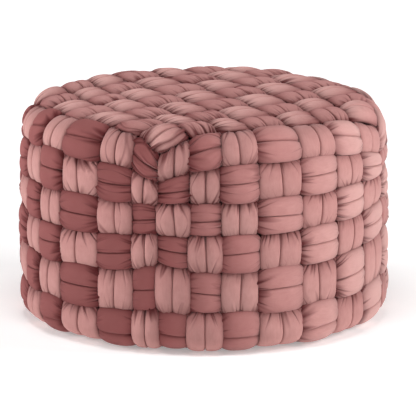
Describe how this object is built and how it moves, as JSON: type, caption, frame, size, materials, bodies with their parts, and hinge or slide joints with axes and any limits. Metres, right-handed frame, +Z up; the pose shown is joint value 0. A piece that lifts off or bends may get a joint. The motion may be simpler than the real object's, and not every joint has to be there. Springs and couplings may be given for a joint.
{
  "type": "braided pouf",
  "caption": "Round floor pouf: a filled cushion inside a basket weave of stuffed velvet tubes, with a flat underside to stand on",
  "frame": {"origin": "centre of the flat underside", "axes": "+Z up, the pouf's height; X and Y run along the two ways of the weave over the top"},
  "size_m": [0.5068, 0.5074, 0.3048],
  "materials": {
    "velvet": "dusty rose velvet with a soft sheen",
    "base_cloth": "plain matt cloth under the pouf, in a darker rose"
  },
  "bodies": {
    "root": {"cushion": "base_cloth", "strand_x1": "velvet", "strand_x2": "velvet", "strand_x3": "velvet", "strand_x4": "velvet", "strand_x5": "velvet", "strand_x6": "velvet", "strand_x7": "velvet", "strand_y1": "velvet", "strand_y2": "velvet", "strand_y3": "velvet", "strand_y4": "velvet", "strand_y5": "velvet", "strand_y6": "velvet", "strand_y7": "velvet", "hoop_1": "velvet", "hoop_2": "velvet", "hoop_3": "velvet", "hoop_4": "velvet", "hoop_5": "velvet", "hoop_6": "velvet"}
  },
  "joints": []
}
